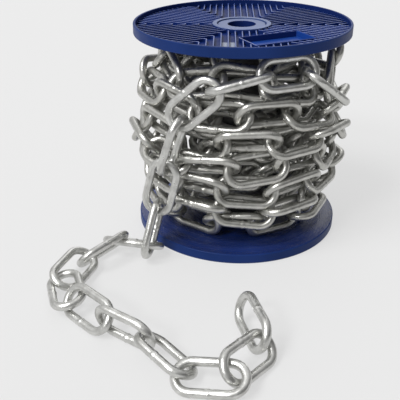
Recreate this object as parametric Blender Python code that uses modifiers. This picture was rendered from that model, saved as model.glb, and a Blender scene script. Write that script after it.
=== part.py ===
"""A plastic reel wound with welded steel chain, its free end laid out on the floor.

Metres, +Z up. The reel stands on its lower flange. Run in Blender 4.5.
"""

import math

import bmesh
import bpy
import numpy as np
from mathutils import Matrix

# Where the reel's axis stands, so that the origin is under the middle of the whole object
REEL_X = 0.0289
REEL_Y = 0.0814

# Reel: two flanges on a tube
FLANGE_RADIUS = 0.0900
FLANGE_THICKNESS = 0.0084
REEL_HEIGHT = 0.1805
RIM_WIDTH = 0.0022
WEB_THICKNESS = 0.0025
HUB_RADIUS = 0.0243
HUB_DROP = 0.0022
LEDGE_RADIUS = 0.0205
LEDGE_DROP = 0.0010
BORE_RADIUS = 0.0115
EDGE_ROUND = 0.0008
ROUND_STEPS = 36
FIT_GAP = 0.0003

# Ribs between rim and hub: six sectors of parallel ribs, with every second rib in the solids
SECTORS = 6
RIB_STEP = 0.005535
RIBS_A_SIDE = 7
RIBS_SKIPPED = 2
RIB_WIDTH = 0.0012
RIB_DROP = 0.0032
RIB_SUNK = 0.0009
PATTERN_TURN = -2.4

# Rectangular label pocket on the upper flange, measured from the reel's axis
POCKET_X = 0.0245
POCKET_Y = -0.0493
POCKET_LENGTH = 0.0540
POCKET_WIDTH = 0.0285
POCKET_TURN = 25.0
POCKET_WALL = 0.0014
POCKET_DROP = 0.0027
POCKET_FLOOR = 0.0012
POCKET_SUNK = 0.0011

# Chain: welded links of round wire
CROWN_RADIUS = 0.0110
STRAIGHT_HALF = 0.0123
PITCH = 0.0406
HALF_LENGTH = STRAIGHT_HALF + CROWN_RADIUS
# The solids use a six-sided wire, whose corners stand a little outside the round one
WIRE_RADIUS = 0.0031
CROWN_ANGLES = (-90, -45, 0, 45, 90)

# Distances between the centrelines of two links
JOINED_STEP = 0.0045
HOOKED_STEP = 0.0066
FREE_STEP = 0.0064
CLEAR_STEP = 0.0067
FLOOR_STEP = 0.0032
CORE_STEP = 0.0039

# Winding: one layer of chain on the hidden layers, which bulge like a barrel
WOUND_BASE = FLANGE_THICKNESS + FIT_GAP
WOUND_TOP = REEL_HEIGHT - FLANGE_THICKNESS - FIT_GAP
CORE_HEIGHTS = (WOUND_BASE, 0.035, 0.065, 0.105, 0.135, WOUND_TOP)
CORE_RADII = (0.046, 0.060, 0.068, 0.069, 0.059, 0.046)
TURNS = 7.3
TOP_ROW = 0.150
FOOT_ROW = 0.022
START_OUT = 0.009
SPACING = 0.975
LINKS_PER_RUN = 4
ROLL_SEED = 3

# Loops that stand out: azimuth in degrees, height, and how far out the hidden layers push them
BULGES = ((178, 0.130, 0.012), (182, 0.088, 0.010), (5, 0.105, 0.006))
BULGE_TURN = 16.0
BULGE_RISE = 0.015

# Hidden layer of chain that shows through the gaps of the outer one
INNER_TURNS = 6.6
INNER_TOP = 0.158
INNER_FOOT = 0.020
INNER_DEPTH = 0.0125
INNER_CLEAR = 0.0036
INNER_SEED = 5
INNER_ROUNDS = 700
INNER_JOINED = 0.0040
INNER_HOOKED = 0.0067
LINKS_PER_INNER = 5
BARREL_RADII = (0.0256, 0.0370, 0.0450, 0.0460, 0.0360, 0.0256)

# The winding is laid this many times too tall and then pressed down, which keeps its rows apart
STRETCH = 1.8
FREE_ROUNDS = 600
WOUND_ROUNDS = 1100
PULL = 0.00004
TURN_REACH = 0.016
UP = np.array((0.0, 0.0, 1.0))

# Free end, from the winding to the last link: middle in millimetres from the foot of the reel's
# axis, then heading, rise and roll of the link in degrees
FREE_LINKS = (
    (65, -56, 141, -150, 40, -11),
    (32, -72, 158, -161, -3, -65),
    (-5, -82, 153, -170, -7, 15),
    (-40, -80, 139, 149, -42, -95),
    (-57, -79, 102, -174, -77, 32),
    (-66, -76, 60, 159, -79, 91),
    (-74, -77, 23, -103, -61, -87),
    (-91, -72, 9, 172, 0, 31),
    (-115, -88, 14, -132, -5, 45),
    (-136, -113, 10, -112, 0, -20),
    (-137, -141, 8, -76, -4, 10),
    (-115, -171, 10, -49, 0, 50),
    (-89, -191, 12, -34, 0, 107),
    (-57, -218, 9, -49, 4, -28),
    (-27, -240, 9, -3, 2, 25),
    (-1, -224, 12, 46, 6, 40),
    (1, -187, 14, 106, 8, -70),
)
LINKS_ON_REEL = 6


def unit(vectors):
    return vectors / np.linalg.norm(vectors, axis=-1, keepdims=True)


def link_outline():
    """The centreline of a link as a closed polygon, along X, on the XY plane."""
    right = [
        (STRAIGHT_HALF + CROWN_RADIUS * math.cos(a), CROWN_RADIUS * math.sin(a))
        for a in np.radians(CROWN_ANGLES)
    ]
    return np.array(right + [(-x, -y) for x, y in right])


OUTLINE = link_outline()


def outlines(middles, axes, faces):
    """The centreline points of every link, from its middle, its length and the way it faces."""
    sides = np.cross(faces, axes)
    return middles[:, None] + OUTLINE[:, :1] * axes[:, None] + OUTLINE[:, 1:] * sides[:, None]


def nearest(first, second):
    """For each pair of closed polygons: the gap, and where it is on the first and on the second."""
    start_a, start_b = first[:, :, None], second[:, None, :]
    run_a = np.roll(first, -1, axis=1)[:, :, None] - start_a
    run_b = np.roll(second, -1, axis=1)[:, None, :] - start_b
    between = start_a - start_b
    aa = (run_a**2).sum(-1)
    bb = (run_b**2).sum(-1)
    ab = (run_a * run_b).sum(-1)
    ad = (run_a * between).sum(-1)
    bd = (run_b * between).sum(-1)
    spread = np.maximum(aa * bb - ab * ab, 1e-18)
    along_a = np.clip((ab * bd - ad * bb) / spread, 0, 1)
    along_b = np.clip((ab * along_a + bd) / bb, 0, 1)
    along_a = np.clip((ab * along_b - ad) / aa, 0, 1)
    apart = between + along_a[..., None] * run_a - along_b[..., None] * run_b
    pairs = len(first)
    points = first.shape[1]
    squares = (apart**2).sum(-1).reshape(pairs, -1)
    best = squares.argmin(1)
    rows = np.arange(pairs)
    i, j = best // points, best % points
    at_a = first[rows, i] + along_a[rows, i, j][:, None] * run_a[rows, i, 0]
    at_b = second[rows, j] + along_b[rows, i, j][:, None] * run_b[rows, 0, j]
    return np.sqrt(squares[rows, best]), at_a, at_b


def core_radius(azimuth, height):
    """Radius of the hidden layers at this azimuth in degrees and this height."""
    radius = np.interp(height, CORE_HEIGHTS, CORE_RADII)
    for middle, level, out in BULGES:
        aside = ((azimuth - middle + 180) % 360 - 180) / BULGE_TURN
        above = (height - level) / BULGE_RISE
        radius = radius + out * np.exp(-(aside**2) - above**2)
    return radius


def barrel_radius(height):
    """Radius of the dark barrel inside the hidden layer."""
    return np.interp(height, CORE_HEIGHTS, BARREL_RADII)


def face_of(axes, outward, rolls):
    """The way links face: outward, turned about their length by their roll in degrees."""
    outward = unit(outward - axes * (outward * axes).sum(-1, keepdims=True))
    turn = np.radians(rolls)
    return np.cos(turn) * outward + np.sin(turn) * np.cross(axes, outward)


def free_links():
    """The free end as placed by hand, before its links are eased apart."""
    middles, axes, faces = [], [], []
    for x, y, z, heading, rise, roll in FREE_LINKS:
        heading, rise = math.radians(heading), math.radians(rise)
        level = math.cos(rise)
        axis = np.array((math.cos(heading) * level, math.sin(heading) * level, math.sin(rise)))
        middles.append((x / 1000, y / 1000, z / 1000))
        axes.append(axis)
        faces.append(face_of(axis, UP, roll))
    return np.array(middles), np.array(axes), np.array(faces)


def links_along(path, seed, first_roll):
    """Links hooked one after another along a path, leaning to either side in turn."""
    draw = np.random.default_rng(seed)
    along = np.append(0, np.cumsum(np.linalg.norm(np.diff(path, axis=0), axis=1)))
    places = np.arange(0, along[-1], PITCH * SPACING)
    ends = np.column_stack([np.interp(places, along, path[:, k]) for k in range(3)])
    middles = (ends[1:] + ends[:-1]) / 2
    axes = unit(ends[1:] - ends[:-1])
    side = np.where(np.arange(len(middles)) % 2, 1.0, -1.0)
    rolls = 45 * side + draw.uniform(-30, 30, len(middles))
    rolls[0] = first_roll
    return middles, axes, face_of(axes, middles * (1, 1, 0), rolls[:, None])


def wound_links(start):
    """The winding before it is pressed down, from the top of the free end round to its foot."""
    swept = np.linspace(0, TURNS * 2 * math.pi, 4000)
    turned = math.atan2(start[1], start[0]) + swept
    heights = TOP_ROW + (FOOT_ROW - TOP_ROW) * swept / swept[-1]
    heights += 0.003 * np.sin(0.8 * swept) + 0.002 * np.sin(2.3 * swept)
    eased = np.minimum(1, swept / 1.5)
    heights = start[2] + (heights - start[2]) * eased
    radii = core_radius(np.degrees(turned), heights) + START_OUT
    radii = math.hypot(start[0], start[1]) * (1 - eased) + radii * eased
    heights = start[2] + (heights - start[2]) * STRETCH
    path = np.column_stack((radii * np.cos(turned), radii * np.sin(turned), heights))
    return links_along(path, ROLL_SEED, 0)


def inner_links():
    """The hidden layer before it is pressed down: a helix the other way round."""
    swept = np.linspace(0, INNER_TURNS * 2 * math.pi, 4000)
    middle = (INNER_TOP + INNER_FOOT) / 2
    heights = INNER_TOP + (INNER_FOOT - INNER_TOP) * swept / swept[-1]
    radii = core_radius(np.degrees(-swept), heights) - INNER_DEPTH
    heights = middle + (heights - middle) * STRETCH
    path = np.column_stack((radii * np.cos(swept), -radii * np.sin(swept), heights))
    return links_along(path, INNER_SEED, 45)


def near_pairs(middles, axes):
    """Pairs of links that could touch, going by the distance between their straight middles."""
    first, second = np.triu_indices(len(middles), 1)
    close = np.linalg.norm(middles[first] - middles[second], axis=-1) < 0.056
    first, second = first[close], second[close]
    between = middles[first] - middles[second]
    a, b = axes[first], axes[second]
    ab, ad, bd = (a * b).sum(-1), (a * between).sum(-1), (b * between).sum(-1)
    spread = np.maximum(1 - ab * ab, 1e-9)
    along_a = np.clip((ab * bd - ad) / spread, -STRAIGHT_HALF, STRAIGHT_HALF)
    along_b = np.clip(ab * along_a + bd, -STRAIGHT_HALF, STRAIGHT_HALF)
    along_a = np.clip(ab * along_b - ad, -STRAIGHT_HALF, STRAIGHT_HALF)
    apart = np.linalg.norm(between + along_a[:, None] * a - along_b[:, None] * b, axis=-1)
    close = apart < 2 * CROWN_RADIUS + CLEAR_STEP + 0.003
    return first[close], second[close]


def ease_apart(links, loose, steps, on_reel, rounds, pressed_at=None, inner=False):
    """Push links off one another, the hidden layers, the flanges and the floor, a little each round.

    Neighbours along the chain come to the distance in steps and all others to CLEAR_STEP or more.
    A link that isn't loose stays put. With pressed_at, a height, the winding starts STRETCH times
    too tall about that height and is pressed down to size over the first part of the rounds.
    """
    middles, axes, faces = (np.array(part) for part in links)
    rows = np.arange(len(middles))
    stretch = 1.0 if pressed_at is None else STRETCH
    for turn in range(rounds):
        if pressed_at is not None:
            wanted = 1 + (STRETCH - 1) * max(0.0, 1 - turn / (0.6 * rounds))
            off = middles[:, 2] - pressed_at
            middles[:, 2] += np.where(loose > 0, off * (wanted / stretch - 1), 0)
            stretch = wanted
        if turn % 5 == 0:
            first, second = near_pairs(middles, axes)
            linked = second == first + 1
            step = np.where(linked, np.append(steps, 0)[first], CLEAR_STEP)
            firm = np.where(step <= JOINED_STEP, 0.15, 0.45)
        shapes = outlines(middles, axes, faces)
        gap, at_a, at_b = nearest(shapes[first], shapes[second])
        push = np.where(linked, step - gap, np.maximum(step - gap, 0))
        away = (at_a - at_b) / np.maximum(gap, 1e-6)[:, None]
        turn_a = np.cross(at_a - middles[first], away)
        turn_b = np.cross(at_b - middles[second], away)
        give = loose[first] * (1 + (turn_a**2).sum(-1) / TURN_REACH**2)
        give += loose[second] * (1 + (turn_b**2).sum(-1) / TURN_REACH**2)
        size = firm * push / np.maximum(give, 1e-6)
        move, spin = np.zeros((len(middles), 3)), np.zeros((len(middles), 3))
        for owner, sign, twist in ((first, 1, turn_a), (second, -1, turn_b)):
            share = sign * (loose[owner] * size)[:, None]
            np.add.at(move, owner, share * away)
            np.add.at(spin, owner, share * twist / TURN_REACH**2)
        between = (shapes + np.roll(shapes, -1, axis=1)) / 2
        points = np.concatenate((shapes, between), axis=1)
        radial = points * (1, 1, 0)
        radii = np.linalg.norm(radial, axis=-1)
        heights = points[..., 2]
        if pressed_at is not None:
            heights = pressed_at + (heights - pressed_at) / stretch
        inside = (heights > WOUND_BASE - 0.003) & (heights < WOUND_TOP + 0.003)
        azimuth = np.degrees(np.arctan2(points[..., 1], points[..., 0]))
        edge = core_radius(azimuth, heights)
        deep = np.where(inside, edge + CORE_STEP - radii, 0)
        between_flanges = on_reel[:, None] & (radii < FLANGE_RADIUS + CORE_STEP)
        low = np.where(between_flanges, WOUND_BASE + FLOOR_STEP, FLOOR_STEP) - heights
        high = heights - np.where(between_flanges, WOUND_TOP - FLOOR_STEP, 1.0)
        outward = radial / np.maximum(radii, 1e-9)[..., None]
        limits = [(deep, outward), (low, UP), (high, -UP)]
        if inner:
            proud = radii - (edge - INNER_CLEAR)
            sunk = barrel_radius(heights) + INNER_CLEAR - radii
            limits = [(proud, -outward), (sunk, outward), (low, UP), (high, -UP)]
        for depth, direction in limits:
            worst = depth.argmax(1)
            amount = np.maximum(depth[rows, worst], 0) * (loose > 0)
            direction = np.broadcast_to(direction, points.shape)[rows, worst]
            twist = np.cross(points[rows, worst] - middles, direction)
            size = 0.6 * amount / (1 + (twist**2).sum(-1) / TURN_REACH**2)
            move += size[:, None] * direction
            spin += (size / TURN_REACH**2)[:, None] * twist
        if pressed_at is not None and not inner and turn < 0.75 * rounds:
            move -= unit(middles * (1, 1, 0)) * (PULL * loose * on_reel)[:, None]
        middles = middles + np.clip(move, -0.0015, 0.0015)
        spin = np.clip(spin, -0.08, 0.08)
        axes = unit(axes + np.cross(spin, axes))
        faces = faces + np.cross(spin, faces)
        faces = unit(faces - axes * (faces * axes).sum(-1, keepdims=True))
    return middles, axes, faces


def lay_chain():
    """Every link in one list, from the last free link back to the foot of the winding."""
    links = free_links()
    free = len(links[0])
    on_reel = np.arange(free) < LINKS_ON_REEL
    steps = np.full(free - 1, FREE_STEP)
    middles, axes, faces = ease_apart(links, np.ones(free), steps, on_reel, FREE_ROUNDS)

    start = middles[0] - (HALF_LENGTH - 0.0033) * axes[0]
    wound = wound_links(start)
    middles = np.vstack((middles[::-1], wound[0]))
    axes = np.vstack((-axes[::-1], wound[1]))
    faces = np.vstack((faces[::-1], wound[2]))
    count = len(middles)
    place = np.arange(count - 1) - free
    in_run = (place >= 0) & ((place + 1) % LINKS_PER_RUN != 0)
    steps = np.where(in_run, JOINED_STEP, HOOKED_STEP)
    loose = np.where(np.arange(count) < free, 0.0, 1.0)
    on_reel = np.append(on_reel[::-1], np.ones(count - free, bool))
    links = (middles, axes, faces)
    return free, ease_apart(links, loose, steps, on_reel, WOUND_ROUNDS, start[2])


def lay_inner():
    """The links of the hidden layer, from the top down."""
    links = inner_links()
    count = len(links[0])
    place = np.arange(count - 1)
    steps = np.where((place + 1) % LINKS_PER_INNER != 0, INNER_JOINED, INNER_HOOKED)
    middle = (INNER_TOP + INNER_FOOT) / 2
    free = np.ones(count)
    return ease_apart(links, free, steps, free > 0, INNER_ROUNDS, middle, inner=True)


def material(name, colour, roughness, metallic):
    made = bpy.data.materials.new(name)
    made.use_nodes = True
    shader = made.node_tree.nodes["Principled BSDF"]
    shader.inputs["Base Color"].default_value = (*colour, 1.0)
    shader.inputs["Roughness"].default_value = roughness
    shader.inputs["Metallic"].default_value = metallic
    return made


def blue(name):
    return material(name, (0.02, 0.05, 0.25), 0.35, 0.0)


def steel(name):
    return material(name, (0.6, 0.6, 0.6), 0.35, 1.0)


def collection(name):
    made = bpy.data.collections.new(name)
    bpy.context.scene.collection.children.link(made)
    return made


def as_solid(holder, name, made_of, parts, sharp_angle):
    """Turn a helper object with modifiers or a bevelled curve into a plain mesh object."""
    bpy.context.scene.collection.objects.link(holder)
    graph = bpy.context.evaluated_depsgraph_get()
    mesh = bpy.data.meshes.new_from_object(holder.evaluated_get(graph))
    bpy.data.objects.remove(holder)
    mesh.name = name
    mesh.shade_smooth()
    mesh.set_sharp_from_angle(angle=math.radians(sharp_angle))
    mesh.materials.clear()
    mesh.materials.append(made_of)
    solid = bpy.data.objects.new(name, mesh)
    solid.location = (REEL_X, REEL_Y, 0.0)
    parts.objects.link(solid)
    return solid


def turned_solid(name, profile, made_of, parts):
    """A closed profile of (radius, height), from its outer side's top downwards, turned about Z."""
    mesh = bpy.data.meshes.new(name)
    points = [(radius, 0.0, height) for radius, height in profile]
    edges = [(i, (i + 1) % len(points)) for i in range(len(points))]
    mesh.from_pydata(points, edges, [])
    holder = bpy.data.objects.new(name, mesh)
    screw = holder.modifiers.new("turned", "SCREW")
    screw.steps = ROUND_STEPS
    screw.render_steps = ROUND_STEPS
    screw.use_merge_vertices = True
    screw.merge_threshold = 0.0001
    return as_solid(holder, name, made_of, parts, 30)


def flange_profile(inner, outer, hub_drop):
    """Rim, recessed web and hub of a flange, from the height of its inner face to its outer one."""
    up = 1 if outer > inner else -1
    web = inner + up * WEB_THICKNESS
    rim = FLANGE_RADIUS - RIM_WIDTH
    hub = outer - up * hub_drop
    ledge = hub - up * LEDGE_DROP
    points = [
        (FLANGE_RADIUS - EDGE_ROUND, outer),
        (FLANGE_RADIUS, outer - up * EDGE_ROUND),
        (FLANGE_RADIUS, inner + up * EDGE_ROUND),
        (FLANGE_RADIUS - EDGE_ROUND, inner),
        (BORE_RADIUS, inner),
        (BORE_RADIUS, hub),
        (LEDGE_RADIUS, hub),
        (LEDGE_RADIUS, ledge),
        (HUB_RADIUS, ledge),
        (HUB_RADIUS, web),
        (rim, web),
        (rim, outer),
    ]
    return points if up > 0 else points[::-1]


def rib_paths():
    """Ribs of a flange as level paths: straight ones by the hub, V shapes between the sectors."""
    hub = HUB_RADIUS - RIB_WIDTH / 2
    rim = FLANGE_RADIUS - RIM_WIDTH / 2
    paths = []
    for sector in range(SECTORS):
        turns = [math.radians(90 + PATTERN_TURN + 60 * (sector + more)) for more in (0, 1)]
        out = [np.array((math.cos(a), math.sin(a))) for a in turns]
        left = [np.array((-math.sin(a), math.cos(a))) for a in turns]
        paths.append([out[0] * hub, out[0] * rim])
        for number in range(RIBS_SKIPPED, RIBS_A_SIDE + 1, RIBS_SKIPPED):
            offset = number * RIB_STEP
            far = math.sqrt(rim**2 - offset**2)
            ends = [left[0] * offset + out[0] * far, out[1] * far - left[1] * offset]
            if 2 * offset < hub:
                near = math.sqrt(hub**2 - offset**2)
                paths.append([left[0] * offset + out[0] * near, ends[0]])
                paths.append([out[1] * near - left[1] * offset, ends[1]])
            else:
                paths.append([ends[0], unit(out[0] + out[1]) * 2 * offset, ends[1]])
    return paths


def rib_outline(path):
    """The outline of a rib of RIB_WIDTH along a level path."""
    path = np.array(path)
    runs = unit(path[1:] - path[:-1])
    on = np.vstack((runs, runs[-1:]))
    back = np.vstack((runs[:1], runs))
    across_on = np.column_stack((-on[:, 1], on[:, 0]))
    across_back = np.column_stack((-back[:, 1], back[:, 0]))
    across = unit(across_on + across_back)
    across = across / (across * across_on).sum(-1, keepdims=True) * RIB_WIDTH / 2
    return np.vstack((path - across, (path + across)[::-1]))


def add_ribs(flange, name, web, top, helpers):
    """Thin walls on a flange's web, from inside the web to their top."""
    curve = bpy.data.curves.new(name, "CURVE")
    curve.dimensions = "2D"
    curve.fill_mode = "BOTH"
    curve.extrude = abs(top - web) / 2
    for path in rib_paths():
        outline = rib_outline(path)
        spline = curve.splines.new("POLY")
        spline.points.add(len(outline) - 1)
        for point, (x, y) in zip(spline.points, outline):
            point.co = (x, y, 0.0, 1.0)
        spline.use_cyclic_u = True
    holder = bpy.data.objects.new(name, curve)
    bpy.context.scene.collection.objects.link(holder)
    graph = bpy.context.evaluated_depsgraph_get()
    mesh = bpy.data.meshes.new_from_object(holder.evaluated_get(graph))
    bpy.data.objects.remove(holder)
    bpy.data.curves.remove(curve)
    welded = bmesh.new()
    welded.from_mesh(mesh)
    bmesh.ops.remove_doubles(welded, verts=welded.verts, dist=0.00001)
    bmesh.ops.recalc_face_normals(welded, faces=welded.faces)
    welded.to_mesh(mesh)
    welded.free()
    made = bpy.data.objects.new(name, mesh)
    made.location = (REEL_X, REEL_Y, (web + top) / 2)
    made.hide_render = True
    made.display_type = "WIRE"
    helpers.objects.link(made)
    combine(flange, "ribs", "UNION", made)


def block(name, length, width, base, top, helpers):
    """A box on the pocket's place, used to add to the upper flange or to cut it."""
    x, y = length / 2, width / 2
    corners = [(-x, -y), (x, -y), (x, y), (-x, y)]
    points = [(*c, base) for c in corners] + [(*c, top) for c in corners]
    faces = [(3, 2, 1, 0), (4, 5, 6, 7)]
    faces += [(i, (i + 1) % 4, (i + 1) % 4 + 4, i + 4) for i in range(4)]
    mesh = bpy.data.meshes.new(name)
    mesh.from_pydata(points, [], faces)
    made = bpy.data.objects.new(name, mesh)
    made.location = (REEL_X + POCKET_X, REEL_Y + POCKET_Y, 0.0)
    made.rotation_euler = (0.0, 0.0, math.radians(POCKET_TURN))
    made.hide_render = True
    made.display_type = "WIRE"
    helpers.objects.link(made)
    return made


def combine(solid, name, operation, other):
    step = solid.modifiers.new(name, "BOOLEAN")
    step.operation = operation
    step.solver = "EXACT"
    step.object = other


def add_pocket(flange, helpers):
    """The label pocket: a walled block on the web, hollowed from above."""
    web = REEL_HEIGHT - FLANGE_THICKNESS + WEB_THICKNESS
    floor = REEL_HEIGHT - FLANGE_THICKNESS + POCKET_FLOOR
    body = block(
        "pocket_body",
        POCKET_LENGTH,
        POCKET_WIDTH,
        web - POCKET_SUNK,
        REEL_HEIGHT - POCKET_DROP,
        helpers,
    )
    hollow = block(
        "pocket_hollow",
        POCKET_LENGTH - 2 * POCKET_WALL,
        POCKET_WIDTH - 2 * POCKET_WALL,
        floor,
        REEL_HEIGHT + 0.002,
        helpers,
    )
    combine(flange, "pocket", "UNION", body)
    combine(flange, "hollow", "DIFFERENCE", hollow)


def link_mesh(resolution):
    """One link as a closed mesh: a closed curve with a round bevel."""
    curve = bpy.data.curves.new("link", "CURVE")
    curve.dimensions = "3D"
    curve.bevel_depth = WIRE_RADIUS
    curve.bevel_resolution = resolution
    spline = curve.splines.new("POLY")
    spline.points.add(len(OUTLINE) - 1)
    for point, (x, y) in zip(spline.points, OUTLINE):
        point.co = (x, y, 0.0, 1.0)
    spline.use_cyclic_u = True
    holder = bpy.data.objects.new("link", curve)
    bpy.context.scene.collection.objects.link(holder)
    graph = bpy.context.evaluated_depsgraph_get()
    mesh = bpy.data.meshes.new_from_object(holder.evaluated_get(graph))
    bpy.data.objects.remove(holder)
    bpy.data.curves.remove(curve)
    mesh.shade_smooth()
    mesh.set_sharp_from_angle(angle=math.radians(75))
    return mesh


def add_link(name, mesh, pose, made_of, owner):
    """A copy of the link's mesh at a pose of middle, length and the way it faces."""
    middle, axis, face = pose
    placed = np.eye(4)
    placed[:3, :3] = np.column_stack((axis, np.cross(face, axis), face))
    placed[:3, 3] = middle + np.array((REEL_X, REEL_Y, 0.0))
    copy = mesh.copy()
    copy.materials.clear()
    copy.materials.append(made_of)
    link = bpy.data.objects.new(name, copy)
    link.matrix_world = Matrix(placed)
    owner.objects.link(link)
    return link


def largest_shell(mesh):
    """Drop all shells but the largest, which fills the pockets that joining can leave inside."""
    made = bmesh.new()
    made.from_mesh(mesh)
    left = set(made.faces)
    shells = []
    while left:
        waiting = [left.pop()]
        shell = []
        while waiting:
            face = waiting.pop()
            shell.append(face)
            for edge in face.edges:
                beside = left.intersection(edge.link_faces)
                left -= beside
                waiting.extend(beside)
        shells.append(shell)
    shells.sort(key=len)
    for shell in shells[:-1]:
        bmesh.ops.delete(made, geom=shell, context="FACES")
    made.to_mesh(mesh)
    made.free()


def add_run(name, mesh, poses, made_of, parts, helpers):
    """A stretch of wound chain as one solid: its links joined where they bear on each other."""
    first = add_link(f"{name}_link_1", mesh, poses[0], made_of, helpers)
    for number, pose in enumerate(poses[1:], 2):
        other = add_link(f"{name}_link_{number}", mesh, pose, made_of, helpers)
        other.hide_render = True
        other.display_type = "WIRE"
        combine(first, "joined", "UNION", other)
    graph = bpy.context.evaluated_depsgraph_get()
    joined = bpy.data.meshes.new_from_object(first.evaluated_get(graph))
    largest_shell(joined)
    solid = bpy.data.objects.new(name, joined)
    solid.matrix_world = first.matrix_world.copy()
    parts.objects.link(solid)
    first.modifiers.clear()
    first.hide_render = True
    first.display_type = "WIRE"


def add_runs(name, mesh, poses, size, parts, helpers):
    """A layer of wound chain as a row of solids, with size links in each."""
    for start in range(0, len(poses), size):
        numbered = f"{name}_{start // size + 1:02d}"
        add_run(numbered, mesh, poses[start : start + size], steel(numbered), parts, helpers)


def main():
    for old in list(bpy.data.objects):
        bpy.data.objects.remove(old)
    parts = collection("chain_reel")
    helpers = collection("helpers")

    lower = turned_solid(
        "lower_flange",
        flange_profile(FLANGE_THICKNESS, 0.0, 0.0),
        blue("lower_flange"),
        parts,
    )
    web = FLANGE_THICKNESS - WEB_THICKNESS
    add_ribs(lower, "lower_ribs", web + RIB_SUNK, RIB_DROP, helpers)
    upper = turned_solid(
        "upper_flange",
        flange_profile(REEL_HEIGHT - FLANGE_THICKNESS, REEL_HEIGHT, HUB_DROP),
        blue("upper_flange"),
        parts,
    )
    web = REEL_HEIGHT - FLANGE_THICKNESS + WEB_THICKNESS
    add_ribs(upper, "upper_ribs", web - RIB_SUNK, REEL_HEIGHT - RIB_DROP, helpers)
    add_pocket(upper, helpers)
    turned_solid(
        "core_tube",
        [
            (HUB_RADIUS, WOUND_TOP),
            (HUB_RADIUS, WOUND_BASE),
            (BORE_RADIUS, WOUND_BASE),
            (BORE_RADIUS, WOUND_TOP),
        ],
        blue("core_tube"),
        parts,
    )
    inside = HUB_RADIUS + FIT_GAP
    turned_solid(
        "wound_core",
        list(zip(BARREL_RADII, CORE_HEIGHTS))[::-1] + [(inside, WOUND_BASE), (inside, WOUND_TOP)],
        material("wound_core", (0.1, 0.1, 0.1), 0.6, 1.0),
        parts,
    )

    mesh = link_mesh(1)
    free, links = lay_chain()
    poses = list(zip(*links))
    for number, pose in enumerate(reversed(poses[:free]), 1):
        name = f"free_link_{number:02d}"
        add_link(name, mesh, pose, steel(name), parts)
    add_runs("wound_run", mesh, poses[free:], LINKS_PER_RUN, parts, helpers)
    add_runs("inner_run", link_mesh(0), list(zip(*lay_inner())), LINKS_PER_INNER, parts, helpers)


main()
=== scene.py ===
import math

import bpy
import numpy as np
from mathutils import Matrix, Vector


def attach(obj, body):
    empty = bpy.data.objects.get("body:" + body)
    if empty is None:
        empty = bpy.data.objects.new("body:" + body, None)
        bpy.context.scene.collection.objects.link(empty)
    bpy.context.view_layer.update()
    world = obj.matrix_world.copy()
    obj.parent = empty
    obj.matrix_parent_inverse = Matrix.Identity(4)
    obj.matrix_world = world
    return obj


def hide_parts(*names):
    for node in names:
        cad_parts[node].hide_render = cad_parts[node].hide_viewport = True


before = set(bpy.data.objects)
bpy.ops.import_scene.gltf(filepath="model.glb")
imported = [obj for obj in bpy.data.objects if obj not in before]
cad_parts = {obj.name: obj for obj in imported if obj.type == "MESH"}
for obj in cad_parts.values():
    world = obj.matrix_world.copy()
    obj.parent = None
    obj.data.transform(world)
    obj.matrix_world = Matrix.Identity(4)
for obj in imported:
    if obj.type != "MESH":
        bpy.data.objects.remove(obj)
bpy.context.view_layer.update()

# The values of the solids, in metres. The reel's axis stands here:
REEL_X = 0.0289
REEL_Y = 0.0814

# Reel: two flanges on a tube
FLANGE_RADIUS = 0.0900
FLANGE_THICKNESS = 0.0084
REEL_HEIGHT = 0.1805
RIM_WIDTH = 0.0022
WEB_THICKNESS = 0.0025
HUB_RADIUS = 0.0243
HUB_DROP = 0.0022
LEDGE_RADIUS = 0.0205
BORE_RADIUS = 0.0115
EDGE_ROUND = 0.0008
FIT_GAP = 0.0003

# Rectangular label pocket on the upper flange, measured from the reel's axis
POCKET_X = 0.0245
POCKET_Y = -0.0493
POCKET_LENGTH = 0.0540
POCKET_WIDTH = 0.0285
POCKET_TURN = 25.0
POCKET_WALL = 0.0014
POCKET_DROP = 0.0027
POCKET_FLOOR = 0.0012
POCKET_ROUND = 0.0015

# Pale sticker near the rim, in two cells between the ribs: where it begins and ends from the axis
STICKER_NEAR = 0.0520
STICKER_FAR = 0.0740
STICKER_CELLS = (-2.5, -1.5)
STICKER_THICKNESS = 0.00015

# Chain: welded links of round wire
CROWN_RADIUS = 0.0110
STRAIGHT_HALF = 0.0123
PITCH = 0.0406
HALF_LENGTH = STRAIGHT_HALF + CROWN_RADIUS
CROWN_ANGLES = (-90, -45, 0, 45, 90)

# Distances between the centrelines of two links
JOINED_STEP = 0.0045
HOOKED_STEP = 0.0066
FREE_STEP = 0.0064
CLEAR_STEP = 0.0067
FLOOR_STEP = 0.0032
CORE_STEP = 0.0039

# Winding: one layer of chain on the hidden layers, which bulge like a barrel. It leaves the free end
# over EASE_IN radians, its rows rise and fall in two waves, and its links lean to either side
WOUND_BASE = FLANGE_THICKNESS + FIT_GAP
WOUND_TOP = REEL_HEIGHT - FLANGE_THICKNESS - FIT_GAP
CORE_HEIGHTS = (WOUND_BASE, 0.035, 0.065, 0.105, 0.135, WOUND_TOP)
CORE_RADII = (0.046, 0.060, 0.068, 0.069, 0.059, 0.046)
TURNS = 7.3
TOP_ROW = 0.150
FOOT_ROW = 0.022
START_OUT = 0.009
SPACING = 0.975
LINKS_PER_RUN = 4
ROLL_SEED = 3
START_INSIDE = 0.0033
EASE_IN = 1.5
PATH_POINTS = 4000
SLOW_WAVE = 0.003
SLOW_RATE = 0.8
QUICK_WAVE = 0.002
QUICK_RATE = 2.3
LEAN = 45
LEAN_SPREAD = 30

# Loops that stand out: azimuth in degrees, height, and how far out the hidden layers push them
BULGES = ((178, 0.130, 0.012), (182, 0.088, 0.010), (5, 0.105, 0.006))
BULGE_TURN = 16.0
BULGE_RISE = 0.015

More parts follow.
